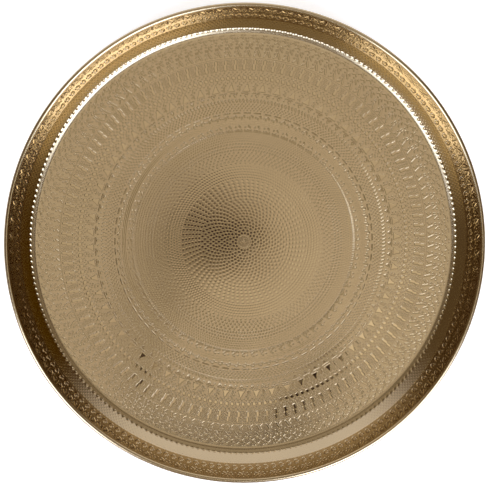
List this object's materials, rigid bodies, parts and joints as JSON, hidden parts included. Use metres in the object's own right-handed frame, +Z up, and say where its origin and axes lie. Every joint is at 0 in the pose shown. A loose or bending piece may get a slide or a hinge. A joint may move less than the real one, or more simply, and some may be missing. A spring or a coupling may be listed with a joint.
{
  "type": "round tray",
  "caption": "Round brass serving tray with an embossed floor, a steep side wall and a rolled rim over a wire, standing on felt pads.",
  "frame": {"origin": "centre of the tray, at the level that the felt pads stand on", "axes": "+Z up out of the tray's open side; +X and +Y level, each pointing midway between two neighbouring pads"},
  "size_m": [0.4, 0.4, 0.035],
  "materials": {
    "embossed_brass": "pressed pattern of small marks, satin, muted antique gold, polished on the rolled rim",
    "rim_steel": "drawn wire, dull",
    "pad_felt": "pressed wool felt, matt"
  },
  "bodies": {
    "root": {"tray_pan": "embossed_brass", "rim_wire": "rim_steel", "felt_pad_1": "pad_felt", "felt_pad_2": "pad_felt", "felt_pad_3": "pad_felt", "felt_pad_4": "pad_felt"}
  },
  "joints": []
}
